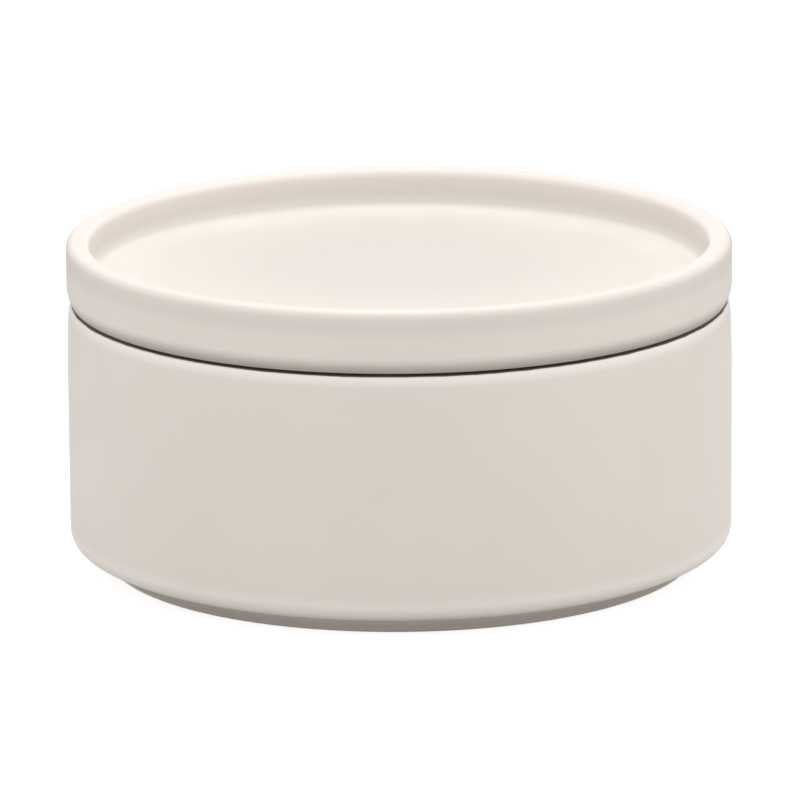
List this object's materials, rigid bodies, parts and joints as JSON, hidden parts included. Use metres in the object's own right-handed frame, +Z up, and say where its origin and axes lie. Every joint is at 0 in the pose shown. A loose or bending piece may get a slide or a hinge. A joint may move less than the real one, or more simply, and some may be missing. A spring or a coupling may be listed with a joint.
{
  "type": "lidded round ceramic box",
  "caption": "Low round stoneware box with straight walls on a set-in foot ring, and a flush lift-off lid whose raised rim makes it a shallow tray.",
  "frame": {"origin": "centre of the plane that the foot ring stands on", "axes": "+Z up along the axis of the round box, through the lid; X and Y are level, and nothing on the box marks a front"},
  "size_m": [0.155, 0.155, 0.0765],
  "materials": {
    "body_glaze": "satin matte warm off-white glaze over pale stoneware, bare on the foot ring and on the lip under the lid",
    "lid_glaze": "satin matte warm off-white glaze over pale stoneware, bare where it rests on the lip"
  },
  "bodies": {
    "box": {"box_body": "body_glaze"},
    "lid": {"lid": "lid_glaze"}
  },
  "joints": [
    {"name": "lid_lift", "type": "slide", "parent": "box", "child": "lid", "axis": [0, 0, 1], "range_m": [0, 0.12]}
  ]
}
